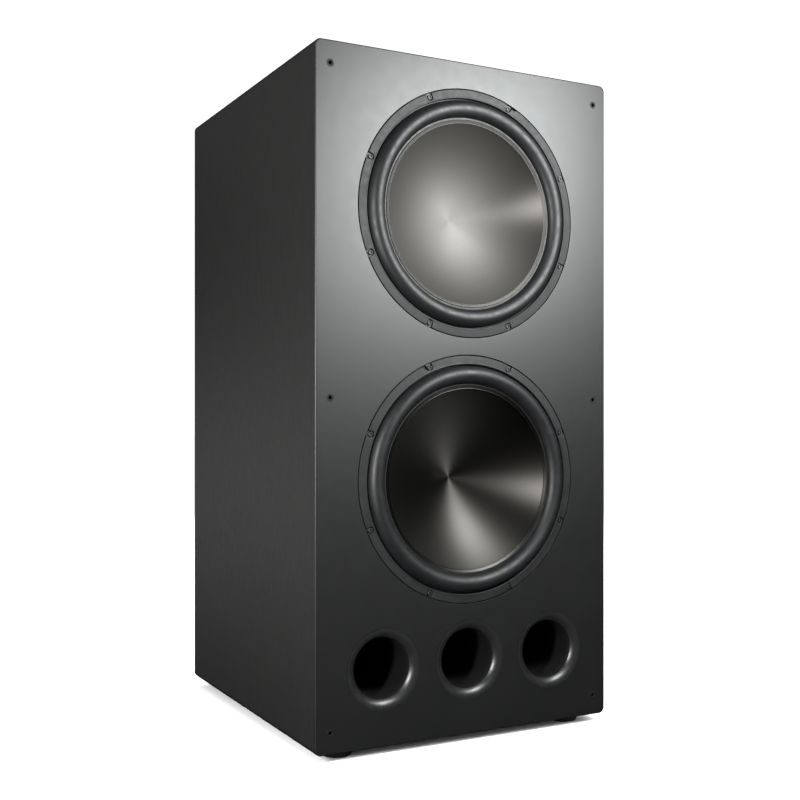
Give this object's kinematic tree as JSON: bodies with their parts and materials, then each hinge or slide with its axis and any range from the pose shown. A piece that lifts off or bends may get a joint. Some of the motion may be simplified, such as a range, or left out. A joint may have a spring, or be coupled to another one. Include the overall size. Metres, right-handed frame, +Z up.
{
  "type": "subwoofer",
  "caption": "Tall floor-standing subwoofer: dished metal drivers above a row of flared ports in a black cabinet, with a plate amplifier at the rear.",
  "frame": {"origin": "floor level, in the middle of the footprint's bounding box", "axes": "+Z up, -Y out of the front baffle, +X to the right of someone who faces the front"},
  "size_m": [0.627, 0.721, 1.262],
  "materials": {
    "baffle_paint": "satin black paint on MDF",
    "cabinet_finish": "charcoal textured vinyl on MDF",
    "bare_board": "bare plywood and MDF",
    "port_plastic": "moulded, half gloss",
    "foot_rubber": "matt black rubber",
    "socket_plastic": "matt black",
    "cast_frame": "black powder coat on cast aluminium",
    "gasket_rubber": "matt rubber trim",
    "surround_rubber": "smooth nitrile rubber",
    "upper_cone_metal": "circularly brushed, warm grey",
    "lower_cone_metal": "circularly brushed, warm grey",
    "coil_copper": "enamelled copper winding on a former",
    "spider_cloth": "resin-dipped cloth",
    "plated_steel": "zinc plate",
    "ferrite": "sintered ferrite",
    "cable_sheath": "black sheath",
    "black_aluminium": "black anodised",
    "tray_steel": "zinc-plated sheet",
    "circuit_board": "green solder mask",
    "transformer_tape": "amber tape",
    "control_plastic": "fine matt black",
    "nickel": "nickel plate",
    "lamp": "clear blue",
    "wadding": "polyester wadding"
  },
  "bodies": {
    "cabinet": {"amp_chassis": "tray_steel", "amp_circuit_board": "circuit_board", "amp_heat_sink": "black_aluminium", "amp_plate": "black_aluminium", "amp_transformer": "transformer_tape", "bottom_left_grille_socket": "socket_plastic", "bottom_panel": "cabinet_finish", "bottom_right_grille_socket": "socket_plastic", "front_baffle": "baffle_paint", "front_left_foot": "foot_rubber", "front_right_foot": "foot_rubber", "left_port": "port_plastic", "left_side_panel": "cabinet_finish", "lower_basket": "cast_frame", "lower_brace": "bare_board", "lower_magnet": "ferrite", "lower_mounting_gasket": "gasket_rubber", "lower_speaker_lead": "cable_sheath", "lower_spider": "spider_cloth", "lower_surround": "surround_rubber", "lower_top_plate": "plated_steel", "lower_yoke": "plated_steel", "mains_inlet": "control_plastic", "middle_brace": "bare_board", "middle_left_grille_socket": "socket_plastic", "middle_port": "port_plastic", "middle_right_grille_socket": "socket_plastic", "mode_switch_bushing": "nickel", "port_support": "bare_board", "power_switch_housing": "control_plastic", "rca_jack_pair": "nickel", "rear_left_foot": "foot_rubber", "rear_panel": "cabinet_finish", "rear_right_foot": "foot_rubber", "right_port": "port_plastic", "right_side_panel": "cabinet_finish", "status_lamp": "lamp", "top_left_grille_socket": "socket_plastic", "top_panel": "cabinet_finish", "top_right_grille_socket": "socket_plastic", "upper_basket": "cast_frame", "upper_magnet": "ferrite", "upper_mounting_gasket": "gasket_rubber", "upper_speaker_lead": "cable_sheath", "upper_spider": "spider_cloth", "upper_surround": "surround_rubber", "upper_top_plate": "plated_steel", "upper_yoke": "plated_steel", "wadding": "wadding", "xlr_input": "control_plastic"},
    "upper_cone": {"upper_cone": "upper_cone_metal", "upper_voice_coil": "coil_copper"},
    "lower_cone": {"lower_cone": "lower_cone_metal", "lower_voice_coil": "coil_copper"},
    "gain_knob": {"gain_knob": "control_plastic"},
    "crossover_knob": {"crossover_knob": "control_plastic"},
    "phase_knob": {"phase_knob": "control_plastic"},
    "power_rocker": {"power_rocker": "control_plastic"},
    "mode_switch_lever": {"mode_switch_lever": "nickel"},
    "fuse_drawer": {"fuse_drawer": "control_plastic"}
  },
  "joints": [
    {"name": "upper_cone_slide", "type": "slide", "parent": "cabinet", "child": "upper_cone", "axis": [0, -1, 0], "range_m": [-0.022, 0.022], "stiffness_N_per_m": 6500, "deforming": ["upper_surround", "upper_spider"]},
    {"name": "lower_cone_slide", "type": "slide", "parent": "cabinet", "child": "lower_cone", "axis": [0, -1, 0], "range_m": [-0.022, 0.022], "stiffness_N_per_m": 6500, "deforming": ["lower_surround", "lower_spider"]},
    {"name": "gain_knob_turn", "type": "hinge", "parent": "cabinet", "child": "gain_knob", "pos_m": [-0.08, 0.3425, 0.434], "axis": [0, 1, 0], "range_deg": [-140, 140]},
    {"name": "crossover_knob_turn", "type": "hinge", "parent": "cabinet", "child": "crossover_knob", "pos_m": [-0.02, 0.3425, 0.434], "axis": [0, 1, 0], "range_deg": [-140, 140]},
    {"name": "phase_knob_turn", "type": "hinge", "parent": "cabinet", "child": "phase_knob", "pos_m": [0.04, 0.3425, 0.434], "axis": [0, 1, 0], "range_deg": [-140, 140]},
    {"name": "power_rocker_tilt", "type": "hinge", "parent": "cabinet", "child": "power_rocker", "pos_m": [-0.02, 0.3345, 0.316], "axis": [1, 0, 0], "range_deg": [-18, 0]},
    {"name": "mode_switch_tilt", "type": "hinge", "parent": "cabinet", "child": "mode_switch_lever", "pos_m": [0.096, 0.3335, 0.434], "axis": [1, 0, 0], "range_deg": [-12, 12]},
    {"name": "fuse_drawer_slide", "type": "slide", "parent": "cabinet", "child": "fuse_drawer", "axis": [0, 1, 0], "range_m": [0, 0.014]}
  ]
}
